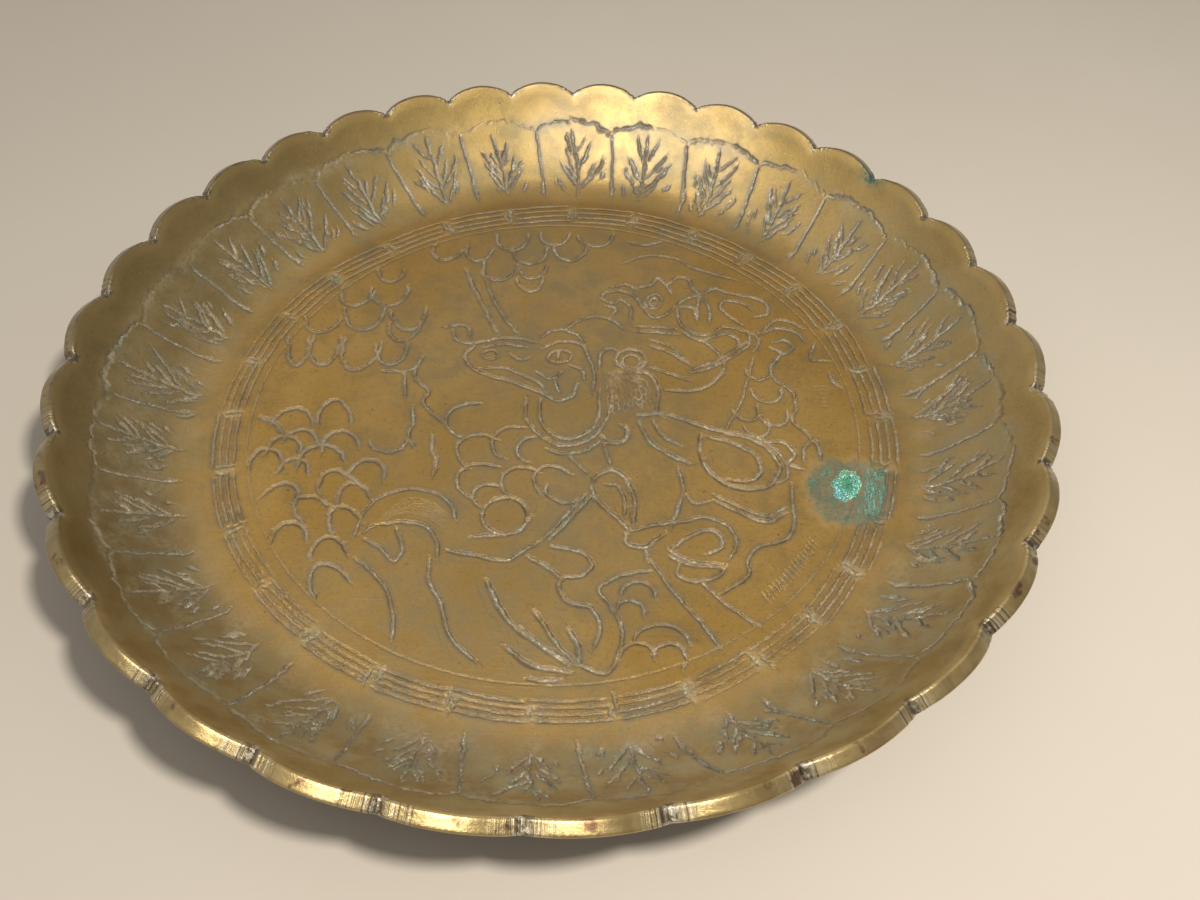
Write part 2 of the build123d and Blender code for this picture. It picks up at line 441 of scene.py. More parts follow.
def robe():
    """Folded robe and boot at the right of the claw."""
    chase([(22, 1.5), (30, 2), (38, -1.5), (45, -4), (52, -6), (57, -10.5), (58.6, -16), (55, -21.8),
           (48, -22.6), (42.5, -20), (39.5, -15.5), (38.2, -10), (38.6, -5)], 1.5, 0.40)
    chase([(40, -5.5), (46, -7.2), (52, -11), (54, -16), (51, -20), (45.5, -20)], 1.3, 0.34)
    chase([(46, -3.4), (54.5, -6), (59.6, -11.5), (60.6, -18), (57.5, -20.6)], 1.0, 0.3)
    chase([(55, -6.8), (60.5, -7), (63, -11), (61, -14), (65, -16)], 1.4, 0.4)
    chase([(65, -13), (65.8, -8.4), (69, -6), (69.8, -12)], 1.2, 0.34)
    chase([(22.5, -1), (25, -7.5), (31, -12.5), (35.5, -15)], 1.5, 0.42)
    chase([(26, 0), (28.5, -5.5), (33, -9)], 1.2, 0.36)
    chase([(32.4, -16.5), (33.6, -23), (32, -30), (30.2, -36)], 1.3, 0.32)
    for offset in (0, 1.8):
        chase([(41, -25 - offset), (48, -29 - offset), (54, -31.2 - offset), (59, -28.5 - offset)],
              1.2, 0.34)
    chase([(34, -25), (36.5, -28), (40.5, -27)], 1.1, 0.28)
    chase([(61.5, -20.5), (61, -28), (61, -34), (58, -38.6), (51.5, -41), (48.6, -45), (48.4, -49.5),
           (41.5, -55)], 1.1, 0.34)


def knot():
    """Bow of ribbon tied below the claw."""
    chase([(20, -37.5), (26, -35.2), (33, -34), (39, -32.4), (44.5, -35), (46.2, -40), (44, -45)],
          1.2, 0.36)
    chase([(30, -42.5), (34, -38.8), (39, -36.4), (42.4, -38), (42.4, -41.5), (38.5, -43.8)], 1.3, 0.36)
    for drop in (0, 1.8):
        chase([(29.5, -42.5 - drop), (34.5, -45.8 - drop / 2), (42.5, -46.5 - drop / 2)], 1.1, 0.32)
    chase([(32, -46.5), (31.8, -50), (35.5, -51.6), (41, -50), (43.4, -46.8)], 1.2, 0.34)
    chase([(19, -38), (19.8, -41.4), (24, -42), (26.8, -39.5), (28.8, -37.5)], 1.4, 0.4)
    chase([(24, -42), (24.6, -46)], 1.6, 0.34)


def ground():
    """Grass, rocks and lines of the near ground."""
    chase([(-46, -48), (-41, -52), (-37, -57), (-34.6, -64), (-34, -70.5)], 1.1, 0.32)
    chase([(-28, -47), (-27.4, -54), (-24, -59.5), (-22, -66), (-19, -71), (-14.5, -75)], 1.2, 0.34)
    for start, bend, end in (((-14, -53), (-7, -65), (7, -75)), ((-5, -66), (0, -70.5), (6.5, -75.5)),
                             ((-2, -61), (3, -69), (8, -75)), ((-8, -71), (-2, -75.5), (7, -77.3)),
                             ((6, -66), (8.5, -70), (8.5, -75)), ((-3, -79), (1, -79.6), (5, -79))):
        chase([start, bend, end], 1.5, 0.38)
    chase([(1, -42.5), (8, -44), (11, -47.5), (9, -50.8), (4, -52), (3.6, -55.5), (6, -58.5), (11, -60),
           (13.6, -65), (12, -70.5)], 1.3, 0.36)
    chase([(-4.5, -46), (0, -48.5), (4, -52)], 1.5, 0.36)
    chase([(25, -49), (18.5, -50.5), (13, -54.5), (15.5, -59), (18.6, -65), (18, -71), (15, -77),
           (9, -75.5)], 1.2, 0.34)
    cups((
        (22.3, -54.5, 8.5, 4.5, 176), (20.6, -59.5, 7, 4, 166), (27.5, -66.5, 13, 5, 180),
        (22, -71, 8, 4, 180), (30, -71.5, 8, 5, 150),
    ), width=1.1, depth=0.32)
    chase([(25, -45.5), (30, -54), (36, -62), (41, -69.5)], 1.0, 0.34)
    chase([(37, -51.5), (43, -58), (50, -63.5)], 1.0, 0.34)
    for tick in range(17):
        along = math.radians(-46.5 + tick)
        chase([at(along, 74.8), at(along - 0.010, 77.8 - 0.05 * tick)], 0.55, 0.20, 0.03, 0.05)


leaf_panels()
bamboo_ring()
foliage()
tree_trunk()
beast_head()
mane()
bird_head()
ribbons()
scaled_wing()
body_scales()
crescent()
claw_and_staff()
robe()
knot()
ground()


# ---------------------------------------------------------------- relief map
map_cell = 0.12
map_reach = 2.4  # distances from a stroke are known up to this far
map_half = rim_length + 4
map_size = int(2 * map_half / map_cell)
batch = 4000  # stroke points handled at once
gap_steps = 1e4  # steps to the millimetre when a distance is kept as a whole number


def relief_maps():
    """Grids over the flat face: depth, and the nearest stroke's distance, side, half width and strength."""
    path = np.vstack([stroke[0] for stroke in strokes])
    along = np.vstack([np.gradient(stroke[0], axis=0) for stroke in strokes])
    along /= np.linalg.norm(along, axis=1)[:, None] + 1e-9
    half_width = np.concatenate([stroke[1] for stroke in strokes])
    depth = np.concatenate([stroke[2] for stroke in strokes])
    reach = int(map_reach / map_cell)
    offset_i, offset_j = (grid.ravel() for grid in np.mgrid[-reach:reach + 1, -reach:reach + 1])
    within = np.hypot(offset_i, offset_j) <= reach
    offset_i, offset_j = offset_i[within], offset_j[within]
    depth_map = np.zeros(map_size * map_size)
    none = np.iinfo(np.int64).max
    nearest = np.full(map_size * map_size, none)  # distance and stroke point in one number: the least wins
    cell = (path + map_half) / map_cell
    whole = np.floor(cell).astype(int)
    for first in range(0, len(path), batch):
        part = slice(first, first + batch)
        i = whole[part, 0][:, None] + offset_i
        j = whole[part, 1][:, None] + offset_j
        gap = map_cell * np.hypot(i - cell[part, 0][:, None], j - cell[part, 1][:, None])
        index = (i * map_size + j).ravel()
        point = np.arange(len(path))[part][:, None]
        np.minimum.at(nearest, index, ((gap * gap_steps).astype(np.int64) * len(path) + point).ravel())
        share = np.clip(gap / half_width[part][:, None], 0, 1)
        groove = depth[part][:, None] * (0.5 + 0.5 * np.cos(math.pi * share))
        cut = share.ravel() < 1
        np.maximum.at(depth_map, index[cut], groove.ravel()[cut])
    found = np.flatnonzero(nearest < none)
    point = nearest[found] % len(path)
    offset = np.stack([found // map_size, found % map_size], 1) - cell[point]
    side = map_cell * (along[point, 0] * offset[:, 1] - along[point, 1] * offset[:, 0])
    maps = {"depth": depth_map}
    near = nearest[found] // len(path) / gap_steps
    strength = depth[point] / usual_depth
    for name, far, values in (("near", map_reach, near), ("off_line", map_reach, side),
                              ("half_width", 0.5, half_width[point]), ("strength", 0.0, strength)):
        maps[name] = np.full(map_size * map_size, far)
        maps[name][found] = values
    return {name: grid.reshape(map_size, map_size).astype(np.float32) for name, grid in maps.items()}


def sample(name, x, y):
    """Value of a map at points of the flattened face."""
    grid = maps[name]
    u = np.clip((x + map_half) / map_cell, 0, map_size - 1.001)
    v = np.clip((y + map_half) / map_cell, 0, map_size - 1.001)
    i, j = u.astype(int), v.astype(int)
    fu, fv = u - i, v - j
    low = grid[i, j] * (1 - fu) + grid[i + 1, j] * fu
    high = grid[i, j + 1] * (1 - fu) + grid[i + 1, j + 1] * fu
    return low * (1 - fv) + high * fv


maps = relief_maps()


# ---------------------------------------------------------------- shape of the dish
notches = TURN * np.arange(lobe_count) / lobe_count
notches = np.sort((notches + lobe_drift * np.sin(notches - wide_side)) % TURN)
notch_lobes = np.append(notches, notches[0] + TURN)
edge_corner = 0.55  # worn rounding of the rim's two corners
bevel_reach, bevel_depth = 3.6, 0.38  # the upper face is rubbed down towards the rim


def from_notch(angle):
    """Distance along the rim to the nearest notch, and half the width of the lobe there."""
    angle = (angle - notches[0]) % TURN + notches[0]
    index = np.clip(np.searchsorted(notch_lobes, angle, side="right") - 1, 0, lobe_count - 1)
    left, right = notch_lobes[index], notch_lobes[index + 1]
    half = rim_radius * (right - left) / 2
    return half - np.abs(rim_radius * (angle - (left + right) / 2)), half


def filed(angle):
    """1 at a notch, where the file has cut across the rim, falling to 0 on the lobes. Wider on wide lobes."""
    gap, half = from_notch(angle)
    ragged = 1.6 * noise(rim_radius * angle, 0 * angle, 1.3, 21)
    return 1 - smooth_step(gap + ragged, 0.16 * half, 0.64 * half)


def lobe_edge(angle):
    """Length of the upper face from the centre to the rim's edge in this direction."""
    gap, half = from_notch(angle)
    arc_radius = (half**2 + lobe_depth**2) / (2 * lobe_depth)
    from_top = half - gap
    drop = arc_radius - np.sqrt(np.maximum(arc_radius**2 - from_top**2, 0))
    mark = np.sqrt(np.maximum(notch_radius**2 - gap**2, 0)) + lobe_depth - notch_radius
    drop = np.where(gap < notch_radius, np.maximum(drop, mark), drop)
    along = rim_radius * angle
    scratches = 0.13 * noise(along, 0 * along, 0.55, 22) + 0.10 * noise(along, 0 * along, 1.1, 23)
    waver = 0.18 * noise(along, 0 * along, 9.0, 24)
    return rim_length - drop - 0.12 + scratches * filed(angle) - np.abs(waver) * 0.5


def face_point(length):
    """Radius, height and slope of the upper face at this length from the centre."""
    in_cove = np.clip(length - floor_radius, 0, cove_radius * cove_angle) / cove_radius
    on_wall = np.clip(length - cove_end, 0, None) / wall_radius
    slope = in_cove + on_wall
    radius = np.minimum(length, floor_radius) + cove_radius * np.sin(in_cove)
    height = floor_top + cove_radius * (1 - np.cos(in_cove))
    radius = radius + wall_radius * (np.sin(cove_angle + on_wall) - math.sin(cove_angle))
    height = height + wall_radius * (math.cos(cove_angle) - np.cos(cove_angle + on_wall))
    return radius, height, slope


def face_length(place, edge):
    """Length along the upper face for this place on the profile, squeezed near the rim to end at the edge."""
    squeeze = (edge - lobe_zone) / (rim_length - lobe_zone)
    return np.where(place < lobe_zone, place, lobe_zone + (place - lobe_zone) * squeeze)


def round_corner(below, into):
    """Moves points near the corner at (0, 0) onto a rounded corner. They lie on one of its two faces."""
    along = np.where(into > 1e-9, into, -below)
    near = np.abs(along) < edge_corner
    turn = math.pi / 4 * (1 + along / edge_corner)
    new_below = np.where(near, edge_corner * (1 - np.sin(turn)), below)
    new_into = np.where(near, edge_corner * (1 - np.cos(turn)), into)
    return new_below, new_into


def dish_surface(place, angle):
    """Points of the closed surface. place runs from the upper centre, over the rim, to the lower centre."""
    edge = lobe_edge(angle)
    on_top = place <= rim_length
    below_rim = place >= underside_start
    top_place = np.where(on_top, place, np.where(below_rim, profile_length - place, rim_length))
    length = face_length(top_place, edge)
    slope = face_point(length)[2]
    thickness = floor_thickness + (rim_thickness - floor_thickness) * slope / rim_angle
    across_band = (place - rim_length) / rim_thickness * thickness
    into = np.where(on_top, 0, np.where(below_rim, thickness, across_band))
    below = edge - length
    upper_below, upper_into = round_corner(below, into)
    lower_below, lower_into = round_corner(below, thickness - into)
    near_lower = into > thickness / 2
    below = np.where(near_lower, lower_below, upper_below)
    into = np.where(near_lower, thickness - lower_into, upper_into)
    rubbed = bevel_depth * np.clip(1 - below / bevel_reach, 0, 1) ** 2
    into = into + rubbed * (1 - into / thickness)

    flat_x, flat_y = length * np.cos(angle), length * np.sin(angle)
    unevenness = 0.10 * noise(flat_x, flat_y, 17, 31) + 0.06 * noise(flat_x, flat_y, 7, 32)
    relief = (sample("depth", flat_x, flat_y) + 0.12 + unevenness) * smooth_step(below, 0.2, 2.5)
    into = into + np.where(on_top, relief, 0)

    radius, height, slope = face_point(edge - below)
    radius = radius + into * np.sin(slope)
    height = height - into * np.cos(slope)
    return np.stack([radius * np.cos(angle), radius * np.sin(angle), height], 1)


# ---------------------------------------------------------------- mesh of the dish, finer where it has detail
fine_edge = 0.50
coarse_edge = 2.6


def wanted_edge(place, angle, length):
    """Longest edge allowed for a triangle here, whose own longest edge is length."""
    on_top = place <= rim_length
    flat = np.minimum(place, rim_length)
    near = sample("near", flat * np.cos(angle), flat * np.sin(angle)) - 0.5 * length
    wanted = np.where(on_top, fine_edge + 1.5 * np.maximum(near - 0.55, 0), 4.0)
    to_corner = np.minimum(np.abs(place - rim_length), np.abs(place - underside_start)) - 0.5 * length
    wanted = np.minimum(wanted, 0.75 + 1.2 * np.maximum(to_corner - 0.5, 0))
    gap, half = from_notch(angle)
    off_band = np.maximum(np.abs(place - rim_length - rim_thickness / 2) - rim_thickness / 2, 0)
    file_near = np.hypot(np.maximum(gap - 0.3 * half, 0), off_band) - 0.5 * length
    wanted = np.minimum(wanted, 0.45 + 1.0 * np.maximum(file_near, 0))
    return np.minimum(wanted, np.where(on_top, coarse_edge, 5.0))


def stitch(inner, outer):
    """Triangles between two rings of points, which may have different counts."""
    faces = []
    i = len(inner) if len(inner) == 1 else 0
    j = len(outer) if len(outer) == 1 else 0
    while i < len(inner) or j < len(outer):
        inner_next = j == len(outer) or (i < len(inner) and (i + 1) / len(inner) < (j + 1) / len(outer))
        a, b = inner[i % len(inner)], outer[j % len(outer)]
        if inner_next:
            faces.append((a, b, inner[(i + 1) % len(inner)]))
            i += 1
        else:
            faces.append((a, b, outer[(j + 1) % len(outer)]))
            j += 1
    return faces


def starting_rings():
    """Coarse closed mesh of rings, as (place, angle, triangles)."""
    ring_gap = 5.0
    rings = int(rim_length / ring_gap)
    top = list(np.linspace(0, rim_length, rings + 1))
    band = list(np.linspace(rim_length, underside_start, 3))[1:]
    bottom = list(np.linspace(underside_start, profile_length, rings + 1))[1:]
    places, angles, faces, last = [], [], [], None
    for place in top + band + bottom:
        from_centre = min(place, profile_length - place, rim_length)
        count = max(1, 6 * round(from_centre / ring_gap))
        ring = list(range(len(places), len(places) + count))
        places += [place] * count
        angles += [TURN * k / count for k in range(count)]
        if last:
            faces += stitch(last, ring)
        last = ring
    return np.array(places), np.array(angles), np.array(faces)


def halfway(place, angle, a, b):
    """Place and angle halfway between points a and b. A centre has no angle, so the other point's is used."""
    weight = np.where((place < 1e-6) | (place > profile_length - 1e-6), 0.0, 1.0)
    x = weight[a] * np.cos(angle[a]) + weight[b] * np.cos(angle[b])
    y = weight[a] * np.sin(angle[a]) + weight[b] * np.sin(angle[b])
    return (place[a] + place[b]) / 2, np.arctan2(y, x) % TURN


def refine(place, angle, faces):
    """Halves longest edges until every triangle is fine enough. Neighbours always split the same edge."""
    for _ in range(30):
        points = dish_surface(place, angle)
        pairs = np.sort(faces[:, [0, 1, 1, 2, 2, 0]].reshape(-1, 2), axis=1)
        key, edge = np.unique(pairs[:, 0] * len(place) + pairs[:, 1], return_inverse=True)
        ends = np.stack([key // len(place), key % len(place)], 1)
        length = np.linalg.norm(points[ends[:, 0]] - points[ends[:, 1]], axis=1)
        length = length + 1e-9 * np.arange(len(length))
        edge = edge.reshape(-1, 3)
        longest = edge[np.arange(len(faces)), length[edge].argmax(1)]
        middle_place, middle_angle = halfway(place, angle, ends[longest, 0], ends[longest, 1])
        too_big = length[longest] > wanted_edge(middle_place, middle_angle, length[longest])
        if not too_big.any():
            break
        marked = np.zeros(len(key), bool)
        marked[longest[too_big]] = True
        while True:
            pulled = longest[marked[edge].any(1)]
            if marked[pulled].all():
                break
            marked[pulled] = True
        new_point = np.full(len(key), -1)
        new_point[marked] = len(place) + np.arange(marked.sum())
        more_place, more_angle = halfway(place, angle, ends[marked, 0], ends[marked, 1])
        place, angle = np.append(place, more_place), np.append(angle, more_angle)
        faces = split(faces, edge, length, new_point)
    return place, angle, faces


def split(faces, edge, length, new_point):
    """Splits each triangle at the new points on its edges, starting with its longest edge."""
    turn = length[edge].argmax(1)[:, None]
    order = (turn + np.arange(3)) % 3
    a, b, c = np.take_along_axis(faces, order, 1).T
    on_ab, on_bc, on_ca = new_point[np.take_along_axis(edge, order, 1)].T
    whole = on_ab < 0
    pieces = [faces[whole]]
    for start, end, side in ((b, c, on_bc), (c, a, on_ca)):
        once, twice = ~whole & (side < 0), ~whole & (side >= 0)
        pieces.append(np.stack([on_ab, start, end], 1)[once])
        pieces.append(np.stack([on_ab, start, side], 1)[twice])
        pieces.append(np.stack([on_ab, side, end], 1)[twice])
    return np.vstack(pieces)


def write_mesh(name, points, faces):
    """Object from points in millimetres and triangles, shaded smooth."""
    mesh = bpy.data.meshes.new(name)
    mesh.vertices.add(len(points))
    mesh.vertices.foreach_set("co", (np.asarray(points) * MM).astype(np.float32).ravel())
    mesh.loops.add(3 * len(faces))
    mesh.loops.foreach_set("vertex_index", np.asarray(faces).ravel().astype(np.int32))
    mesh.polygons.add(len(faces))
    mesh.polygons.foreach_set("loop_start", np.arange(0, 3 * len(faces), 3, dtype=np.int32))
    mesh.update(calc_edges=True)
    mesh.validate()
    mesh.shade_smooth()
    made = bpy.data.objects.new(name, mesh)
    bpy.context.scene.collection.objects.link(made)
    return made


def store(made, name, values):
    """Keeps one number per point, for the material to read."""
    layer = made.data.attributes.new(name, "FLOAT", "POINT")
    layer.data.foreach_set("value", np.asarray(values, np.float32))


stain_x, stain_y = 75.5, -20.5  # middle of the verdigris
rim_stain_angle = math.radians(41.3)  # a second, small stain on the rim's edge


def stain(x, y):
    """1 in the middle of the verdigris stain, 0 outside its ragged edge."""
    across = np.hypot((x - stain_x + 0.8) / 11.0, (y - stain_y + 2.0) / 13.5)
    return 1 - smooth_step(across + 0.16 * noise(x, y, 5.0, 41) + 0.08 * noise(x, y, 1.4, 42), 0.72, 1.12)


def green_cane(x, y):
    """1 on the one cane beside the stain that is full of green salts, 0 elsewhere."""
    along, angle = np.hypot(x, y), np.arctan2(y, x)
    ragged = 0.25 * noise(x, y, 2.0, 43)
    across = np.abs(along - 85.4) / 2.6 + ragged
    end = np.abs(angle + math.radians(15.5)) / math.radians(6.2) + ragged
    return (1 - smooth_step(across, 0.75, 1.25)) * (1 - smooth_step(end, 0.75, 1.2))


def dirt(x, y):
    """Grey dirt left on the metal: over the sprigs, at the canes' joints and along the panels' upper edge."""
    along, angle = np.hypot(x, y), np.arctan2(y, x)
    side = 0.70 - 0.35 * np.cos(angle - math.radians(80))
    patch = 0.58 + 0.36 * noise(x, y, 9, 71) + 0.35 * noise(x, y, 3.5, 72) + 0.2 * noise(x, y, 1.5, 73)
    belt = smooth_step(along, 88, 98) * (1 - smooth_step(along + 2 * noise(x, y, 6, 74), 118, 123))
    scar = np.exp(-(((along - panel_top + 1.5 + 1.6 * noise(x, y, 7, 75)) / 1.8) ** 2))
    joint = np.abs((angle[:, None] - cane_joints + math.pi) % TURN - math.pi).min(1) * along
    inner, outer = cane_edges(angle)
    knot = np.exp(-((joint / 2.0) ** 2)) * smooth_step(along, inner - 1.5, inner + 1.5)
    knot = knot * (1 - smooth_step(along, outer - 1.5, outer + 1.5))
    return np.clip(patch * (0.75 * belt * side + 0.6 * scar + 1.1 * knot), 0, 1)


def build_dish():
    place, angle, faces = refine(*starting_rings())
    made = write_mesh("brass_dish", dish_surface(place, angle), faces)
    on_top = place <= rim_length
    edge = lobe_edge(angle)
    length = face_length(np.minimum(place, rim_length), edge)
    x, y = length * np.cos(angle), length * np.sin(angle)
    for name, far in (("near", map_reach), ("off_line", map_reach), ("half_width", 0.5), ("strength", 0.0)):
        store(made, name, np.where(on_top, sample(name, x, y), far))
    gap, _ = from_notch(angle)
    on_band = smooth_step(place, rim_length - 0.5, rim_length + 0.1)
    on_band = on_band * (1 - smooth_step(place, underside_start - 0.1, underside_start + 0.5))
    store(made, "band", on_band)
    on_rim = (place > rim_length - 2.0) * (place < underside_start + 1.0)
    store(made, "filed", filed(angle) * (place > rim_length - 1.0) * on_rim)
    notch_reach = 2.4 + 0.9 * np.cos(angle - math.radians(215))  # the marks are longest at the front left
    # mask for the notches' painted shade and painted glints
    store(made, "notch", (1 - smooth_step(gap, 0.5, notch_reach)) * on_rim)
    # mask for a painted dark reflection along the rim's upper corner, strongest at the far side
    corner = np.exp(-(((place - rim_length) / 0.7) ** 2))
    store(made, "corner_dark_reflection", corner * (0.62 + 0.38 * np.sin(angle)))
    stained_rim = smooth_step(place, rim_length - 5.5, rim_length - 2.0) * (place < underside_start + 1.0)
    store(made, "rim_stain", np.exp(-(((angle - rim_stain_angle) / 0.034) ** 2)) * stained_rim)
    store(made, "bevel", (1 - smooth_step(edge - length, 0.5 * bevel_reach, bevel_reach)) * on_top)
    store(made, "dirt", dirt(x, y) * on_top)
    store(made, "stain", stain(x, y) * on_top)
    on_floor = np.clip(1.05 - np.abs(x + 8) / 62 + 0.4 * noise(x, y, 24, 76), 0, 1)
    on_wall = 0.55 - 0.45 * np.sin(angle) - 0.55 * np.maximum(-np.cos(angle - math.radians(12)), 0)
    on_wall = np.clip(on_wall + 0.2 * noise(x, y, 14, 77), 0, 1)
    wall = smooth_step(length, floor_radius - 2, cove_end + 3)
    cove_film = 0.75 * np.exp(-(((length - 93.5) / 4.5) ** 2)) * (0.7 + 0.3 * noise(x, y, 8, 78))
    film = np.maximum(on_floor * (1 - wall) + on_wall * wall, cove_film)
    store(made, "film", film * on_top)
    store(made, "green_cane", green_cane(x, y) * on_top)
    store(made, "wall", wall)
    store(made, "underside", place > underside_start + 0.6)
    return made


# ---------------------------------------------------------------- materials
class Surface:
    """A material's node tree, with a short call for each kind of node it uses."""

    def __init__(self, name):
        self.material = bpy.data.materials.new(name)
        self.material.use_nodes = True
        self.tree = self.material.node_tree
        self.shader = next(n for n in self.tree.nodes if n.type == "BSDF_PRINCIPLED")
        self.place = self.add("ShaderNodeTexCoord").outputs["Object"]

    def add(self, kind, inputs=(), **settings):
        made = self.tree.nodes.new(kind)
        for setting, value in settings.items():
            setattr(made, setting, value)
        for key, value in dict(inputs).items():
            self.feed(made.inputs[key], value)
        return made

    def feed(self, socket, value):
        if isinstance(value, bpy.types.NodeSocket):
            self.tree.links.new(value, socket)
        elif isinstance(value, tuple) and len(value) == 3 and socket.type == "RGBA":
            socket.default_value = (*value, 1)
        else:
            socket.default_value = value

    def kept(self, name):
        """A number stored on the mesh's points."""
        return self.add("ShaderNodeAttribute", attribute_name=name).outputs["Fac"]

    def noise(self, per_metre, detail=4.0, rough=0.6, place=None):
        inputs = {"Vector": place or self.place, "Scale": per_metre, "Detail": detail, "Roughness": rough}
        return self.add("ShaderNodeTexNoise", inputs).outputs["Fac"]

    def calc(self, kind, a, b=0.0):
        return self.add("ShaderNodeMath", {0: a, 1: b}, operation=kind).outputs[0]

    def times(self, a, b):
        return self.calc("MULTIPLY", a, b)

    def axis(self, name):
        """Place along X, Y or Z."""
        return self.add("ShaderNodeSeparateXYZ", {"Vector": self.place}).outputs[name]

    def ramp(self, value, start, end, low=0.0, high=1.0):
        """Value from start to end becomes low to high, clamped and smoothed."""
        inputs = {"Value": value, "From Min": start, "From Max": end, "To Min": low, "To Max": high}
        return self.add("ShaderNodeMapRange", inputs, interpolation_type="SMOOTHSTEP").outputs["Result"]

    def blend(self, share, a, b):
        inputs = {"Factor": share, 6: a, 7: b}
        return self.add("ShaderNodeMix", inputs, data_type="RGBA").outputs[2]

    def fade(self, share, a, b):
        return self.add("ShaderNodeMix", {"Factor": share, 2: a, 3: b}, data_type="FLOAT").outputs[0]

    def stretched(self, x, y, z):
        """Place multiplied per axis, for streaks."""
        inputs = {0: self.place, 1: (x, y, z)}
        return self.add("ShaderNodeVectorMath", inputs, operation="MULTIPLY").outputs[0]

    def bump(self, height, distance, strength=1.0, under=None):
        inputs = {"Height": height, "Distance": distance, "Strength": strength}
        if under:
            inputs["Normal"] = under
        return self.add("ShaderNodeBump", inputs).outputs["Normal"]

    def finish(self, colour, metallic, roughness, normal):
        for key, value in (("Base Color", colour), ("Metallic", metallic), ("Roughness", roughness),
                           ("Normal", normal)):
            self.feed(self.shader.inputs[key], value)
        return self.material


def chased_line(m):
    """Shares from 0 to 1 for the parts of a chased line: its cut, the thread along its middle (pale residue
    and painted highlight), and painted shade on one side.

    The signed offset stays sharp on a coarse mesh. Between two lines it is wrong, so the distance is used.
    """
    offset = m.calc("ABSOLUTE", m.kept("off_line"))
    gap = m.calc("MAXIMUM", offset, m.calc("SUBTRACT", m.kept("near"), 0.26))
    coarse = m.times(m.calc("SUBTRACT", m.noise(1000, 3, 0.6), 0.5), 0.95)
    fine = m.times(m.calc("SUBTRACT", m.noise(2400, 2, 0.6), 0.5), 0.60)
    share = m.calc("DIVIDE", m.calc("ADD", gap, m.calc("ADD", coarse, fine)), m.kept("half_width"))
    strength = m.ramp(m.kept("strength"), 0.05, 0.70, 0.15, 1.0)
    signed = m.calc("DIVIDE", m.calc("ADD", m.kept("off_line"), coarse), m.kept("half_width"))
    cut = m.times(m.ramp(share, 1.60, 0.75), strength)
    thread = m.times(m.ramp(share, 0.60, 0.30), m.ramp(m.kept("strength"), 0.05, 0.90, 0.30, 1.0))
    # painted shade along one side of the line
    shade = m.times(m.ramp(signed, 0.35, 0.65), m.ramp(signed, 1.25, 0.95))
    return cut, thread, m.times(shade, strength)


def rim_band(m, colour, blotch):
    """Rubbed rim of pale brass: painted glint and shade on file marks and notches, painted dark reflections,
    one teal stain.
    """
    around = m.times(m.calc("ARCTAN2", m.axis("Y"), m.axis("X")), rim_radius * MM)
    around = m.calc("ADD", around, m.times(m.noise(500, 2), 0.0004))
    inputs = {"W": around, "Scale": 1500.0, "Detail": 4.0, "Roughness": 0.65}
    file_line = m.add("ShaderNodeTexNoise", inputs, noise_dimensions="1D").outputs["Fac"]
    pale = m.blend(m.ramp(m.noise(170, 4), 0.38, 0.62), (0.44, 0.325, 0.135), (0.33, 0.235, 0.09))
    colour = m.blend(m.times(m.kept("bevel"), 0.45), colour, (0.42, 0.295, 0.105))
    colour = m.blend(m.kept("band"), colour, pale)
    # file marks: bare filed brass with painted glints on the ridges and painted shade in the grooves
    filed_metal_and_glint = m.blend(m.ramp(file_line, 0.52, 0.66), (0.50, 0.39, 0.19), (0.62, 0.58, 0.48))
    file_marks_glint_and_shade = m.blend(m.ramp(file_line, 0.47, 0.36), filed_metal_and_glint, (0.085, 0.060, 0.032))
    colour = m.blend(m.times(m.kept("filed"), 0.9), colour, file_marks_glint_and_shade)
    # notches: painted shade in the hollow, with painted glints in patches
    notch_shade_and_glint = m.blend(m.ramp(m.noise(700, 3), 0.50, 0.58), (0.060, 0.042, 0.024), (0.52, 0.50, 0.43))
    notch = m.times(m.kept("notch"), m.ramp(blotch, 0.3, 0.6, 0.45, 0.85))
    colour = m.blend(notch, colour, notch_shade_and_glint)
    # painted dark reflection along the upper corner of the rim
    colour = m.blend(m.times(m.kept("corner_dark_reflection"), 0.85), colour, (0.105, 0.068, 0.028))
    # painted dark reflection over the left part of the wall
    left_wall_dark_reflection = m.ramp(m.axis("X"), -0.040, -0.105, 0, 0.30)
    colour = m.blend(m.times(left_wall_dark_reflection, m.kept("wall")), colour, (0.100, 0.085, 0.045))
    rust = m.times(m.kept("band"), m.ramp(m.noise(140, 4), 0.58, 0.66, 0, 0.85))
    colour = m.blend(rust, colour, (0.105, 0.040, 0.020))
    teal = m.times(m.kept("rim_stain"), m.ramp(m.noise(900, 4, 0.7), 0.42, 0.56, 0.55, 1.0))
    return m.blend(teal, colour, (0.030, 0.090, 0.075)), file_line


def brass_colour(m, cloud, blotch, grain, speck):
    """Bare metal: orange-brown and clouded on the floor, more olive on the wall, pits and bright grains."""
    floor = m.blend(m.ramp(cloud, 0.35, 0.65), (0.405, 0.245, 0.058), (0.475, 0.300, 0.088))
    floor = m.blend(m.ramp(blotch, 0.44, 0.68, 0, 0.60), floor, (0.255, 0.175, 0.062))
    wall = m.blend(m.ramp(cloud, 0.40, 0.60), (0.268, 0.182, 0.050), (0.330, 0.228, 0.070))
    wall = m.blend(m.ramp(blotch, 0.46, 0.66, 0, 0.45), wall, (0.185, 0.142, 0.056))
    colour = m.blend(m.times(m.kept("wall"), 0.9), floor, wall)
    colour = m.blend(m.ramp(grain, 0.52, 0.72, 0, 0.50), colour, (0.185, 0.130, 0.062))
    colour = m.blend(m.ramp(speck, 0.60, 0.72, 0, 0.65), colour, (0.60, 0.50, 0.32))
    colour = m.blend(m.ramp(m.noise(520, 2), 0.29, 0.25, 0, 0.6), colour, (0.110, 0.078, 0.045))
    return m.blend(m.ramp(m.noise(1700, 2), 0.30, 0.24, 0, 0.7), colour, (0.075, 0.055, 0.035))


